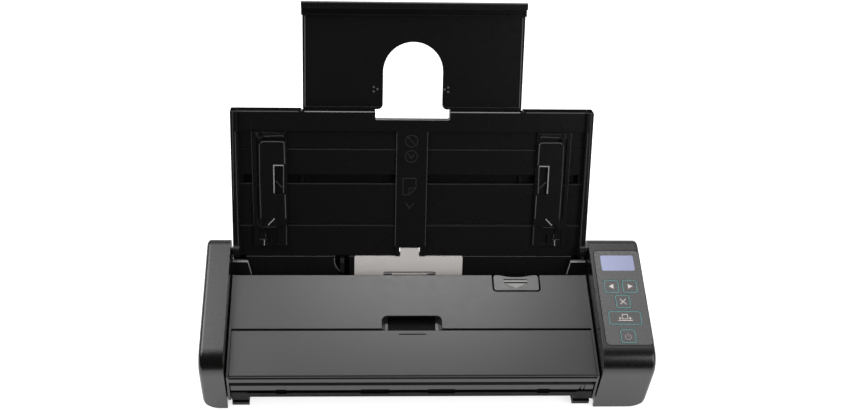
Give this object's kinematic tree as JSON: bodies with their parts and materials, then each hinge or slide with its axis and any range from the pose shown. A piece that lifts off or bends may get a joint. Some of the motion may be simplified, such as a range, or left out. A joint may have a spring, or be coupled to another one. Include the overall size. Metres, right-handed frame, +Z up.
{
  "type": "sheet-fed document scanner",
  "caption": "Desktop sheet-fed scanner with a hinged input tray, pull-out extension, sliding guides with fold-up fences, lift-up cover with flap, and a key panel on the right cap.",
  "frame": {"origin": "on the desk, at the middle of the bottom of the box around the part with its tray open and extension out: midway between the outer faces of the end caps and 43.0 mm behind the middle of their depth", "axes": "+X to the right as seen from the front where the key panel is, +Y to the back, +Z up; rest pose has the input tray open and its extension pulled out"},
  "size_m": [0.3164, 0.1903, 0.2204],
  "materials": {
    "cap_grey": "satin dark grey",
    "cover_grey": "satin graphite",
    "tray_black": "semi-gloss black",
    "inner_black": "matt black",
    "frame_grey": "satin dark grey",
    "pad_grey": "matt light warm grey",
    "natural": "natural white gear plastic",
    "rubber": "matt rubber",
    "pad_rubber": "matt rubber",
    "steel": "zinc-plated sheet",
    "shaft_steel": "turned steel",
    "board": "dark green circuit board",
    "overlay": "satin dark grey film",
    "display": "pale violet display",
    "key_grey": "satin dark grey key"
  },
  "bodies": {
    "base": {"left_end_cap": "cap_grey", "right_end_cap": "cap_grey", "bottom_chassis": "inner_black", "rubber_feet": "rubber", "rear_cover": "cap_grey", "power_socket": "inner_black", "usb_socket": "steel", "circuit_boards": "board", "board_screws": "shaft_steel", "lower_guide": "frame_grey", "feed_module": "pad_grey", "left_side_plate": "steel", "right_side_plate": "steel", "feed_motor": "steel", "lower_sensor": "inner_black", "panel_overlay": "overlay", "lcd_display": "display", "control_board": "board"},
    "sensor_lever": {"paper_lever": "inner_black"},
    "feed_roller": {"feed_shaft": "shaft_steel", "feed_tyres": "rubber", "feed_gear": "natural"},
    "transport_roller": {"transport_shaft": "shaft_steel", "transport_tyres": "rubber", "transport_gear": "natural"},
    "exit_roller": {"exit_shaft": "shaft_steel", "exit_tyres": "rubber", "exit_gear": "natural"},
    "idler_1": {"idler_gear_1": "natural"},
    "idler_2": {"idler_gear_2": "natural"},
    "idler_3": {"idler_gear_3": "natural"},
    "idler_4": {"idler_gear_4": "natural"},
    "motor_drive": {"motor_pinion": "natural"},
    "cover": {"front_cover_shell": "cover_grey", "exit_bar": "cover_grey", "upper_guide": "frame_grey", "separation_pad": "pad_rubber", "pad_holder": "inner_black", "upper_sensor": "inner_black", "release_spring": "shaft_steel"},
    "transport_pinch": {"transport_idlers": "natural"},
    "exit_pinch": {"exit_idlers": "natural"},
    "release": {"release_tab": "cover_grey", "release_linkage": "shaft_steel"},
    "flap": {"front_flap": "cover_grey"},
    "tray": {"tray_panel": "tray_black", "tray_back": "tray_black"},
    "guide_right": {"right_guide": "tray_black", "right_rack": "inner_black"},
    "guide_left": {"left_guide": "tray_black", "left_rack": "inner_black"},
    "guide_gear": {"rack_pinion": "natural"},
    "fence_right": {"right_fence": "tray_black"},
    "fence_left": {"left_fence": "tray_black"},
    "extension": {"tray_extension": "tray_black"},
    "button_left": {"key_left": "key_grey"},
    "button_right": {"key_right": "key_grey"},
    "button_cancel": {"key_cancel": "key_grey"},
    "button_scan": {"key_scan": "key_grey"},
    "button_power": {"key_power": "key_grey"}
  },
  "joints": [
    {"name": "tray_hinge", "type": "hinge", "parent": "base", "child": "tray", "pos_m": [-0.00985, 0.0005, 0.064], "axis": [1, 0, 0], "range_deg": [0, 130.9]},
    {"name": "extension_slide", "type": "slide", "parent": "tray", "child": "extension", "axis": [0, -0.4894, -0.8721], "range_m": [0, 0.0669]},
    {"name": "guide_right_slide", "type": "slide", "parent": "tray", "child": "guide_right", "axis": [-1, 0, 0], "range_m": [0, 0.0785]},
    {"name": "guide_left_slide", "type": "slide", "parent": "tray", "child": "guide_left", "axis": [1, 0, 0], "range_m": [0, 0.0785]},
    {"name": "guide_gear_spin", "type": "hinge", "parent": "tray", "child": "guide_gear", "pos_m": [-0.00985, 0.03133, 0.10862], "axis": [0, -0.8721, 0.4894], "range_deg": [-565, 0]},
    {"name": "fence_right_fold", "type": "hinge", "parent": "guide_right", "child": "fence_right", "pos_m": [0.09935, 0.02523, 0.10746], "axis": [0, -0.4894, -0.8721], "range_deg": [-90, 0]},
    {"name": "fence_left_fold", "type": "hinge", "parent": "guide_left", "child": "fence_left", "pos_m": [-0.11905, 0.02523, 0.10746], "axis": [0, 0.4894, 0.8721], "range_deg": [-90, 0]},
    {"name": "cover_hinge", "type": "hinge", "parent": "base", "child": "cover", "pos_m": [-0.00985, -0.0898, 0.012], "axis": [-1, 0, 0], "range_deg": [-75, 0]},
    {"name": "flap_hinge", "type": "hinge", "parent": "cover", "child": "flap", "pos_m": [-0.00985, -0.09229, 0.03674], "axis": [-1, 0, 0], "range_deg": [-95, 0]},
    {"name": "release_press", "type": "hinge", "parent": "cover", "child": "release", "pos_m": [-0.00985, -0.02754, 0.04568], "axis": [-1, 0, 0], "range_deg": [0, 8], "stiffness_Nm_per_rad": 0.08, "springref_deg": -14.32},
    {"name": "transport_idlers_spin", "type": "hinge", "parent": "cover", "child": "transport_pinch", "pos_m": [-0.00985, -0.0314, 0.02531], "axis": [1, 0, 0], "continuous": true},
    {"name": "exit_idlers_spin", "type": "hinge", "parent": "cover", "child": "exit_pinch", "pos_m": [-0.00985, -0.08, 0.0234], "axis": [1, 0, 0], "continuous": true},
    {"name": "sensor_lever_tilt", "type": "hinge", "parent": "base", "child": "sensor_lever", "pos_m": [-0.00985, 0.00244, 0.05316], "axis": [1, 0, 0], "range_deg": [0, 32], "stiffness_Nm_per_rad": 0.001, "springref_deg": -17.19},
    {"name": "transport_spin", "type": "hinge", "parent": "base", "child": "transport_roller", "pos_m": [-0.00985, -0.02754, 0.01469], "axis": [1, 0, 0], "continuous": true},
    {"name": "feed_spin", "type": "hinge", "parent": "base", "child": "feed_roller", "pos_m": [-0.00985, -0.00552, 0.03642], "axis": [1, 0, 0], "continuous": true},
    {"name": "exit_spin", "type": "hinge", "parent": "base", "child": "exit_roller", "pos_m": [-0.00985, -0.08, 0.014], "axis": [1, 0, 0], "continuous": true},
    {"name": "idler_1_spin", "type": "hinge", "parent": "base", "child": "idler_1", "pos_m": [-0.00985, -0.01366, 0.02264], "axis": [1, 0, 0], "continuous": true},
    {"name": "idler_2_spin", "type": "hinge", "parent": "base", "child": "idler_2", "pos_m": [-0.00985, -0.0419, 0.0167], "axis": [1, 0, 0], "continuous": true},
    {"name": "idler_3_spin", "type": "hinge", "parent": "base", "child": "idler_3", "pos_m": [-0.00985, -0.05469, 0.0144], "axis": [1, 0, 0], "continuous": true},
    {"name": "idler_4_spin", "type": "hinge", "parent": "base", "child": "idler_4", "pos_m": [-0.00985, -0.06762, 0.01574], "axis": [1, 0, 0], "continuous": true},
    {"name": "motor_spin", "type": "hinge", "parent": "base", "child": "motor_drive", "pos_m": [-0.00985, -0.05469, 0.0269], "axis": [1, 0, 0], "continuous": true},
    {"name": "key_left_press", "type": "slide", "parent": "base", "child": "button_left", "axis": [0, 0.2011, -0.9796], "range_m": [0, 0.0004], "stiffness_N_per_m": 400, "springref_m": -0.002},
    {"name": "key_right_press", "type": "slide", "parent": "base", "child": "button_right", "axis": [0, 0.2011, -0.9796], "range_m": [0, 0.0004], "stiffness_N_per_m": 400, "springref_m": -0.002},
    {"name": "key_cancel_press", "type": "slide", "parent": "base", "child": "button_cancel", "axis": [0, 0.2011, -0.9796], "range_m": [0, 0.0004], "stiffness_N_per_m": 400, "springref_m": -0.002},
    {"name": "key_scan_press", "type": "slide", "parent": "base", "child": "button_scan", "axis": [0, 0.2011, -0.9796], "range_m": [0, 0.0004], "stiffness_N_per_m": 400, "springref_m": -0.002},
    {"name": "key_power_press", "type": "slide", "parent": "base", "child": "button_power", "axis": [0, 0.2011, -0.9796], "range_m": [0, 0.0004], "stiffness_N_per_m": 400, "springref_m": -0.002}
  ],
  "couplings": [
    {"joint": "guide_left_slide", "follows": "guide_right_slide", "ratio": 1},
    {"joint": "guide_gear_spin", "follows": "guide_right_slide", "rad_per_m": -125},
    {"joint": "feed_spin", "follows": "transport_spin", "ratio": 1},
    {"joint": "exit_spin", "follows": "transport_spin", "ratio": 1.3333},
    {"joint": "idler_1_spin", "follows": "transport_spin", "ratio": -1},
    {"joint": "idler_2_spin", "follows": "transport_spin", "ratio": -1.2308},
    {"joint": "idler_3_spin", "follows": "transport_spin", "ratio": 1.2308},
    {"joint": "idler_4_spin", "follows": "transport_spin", "ratio": -1.2308},
    {"joint": "motor_spin", "follows": "transport_spin", "ratio": -1.3333}
  ]
}
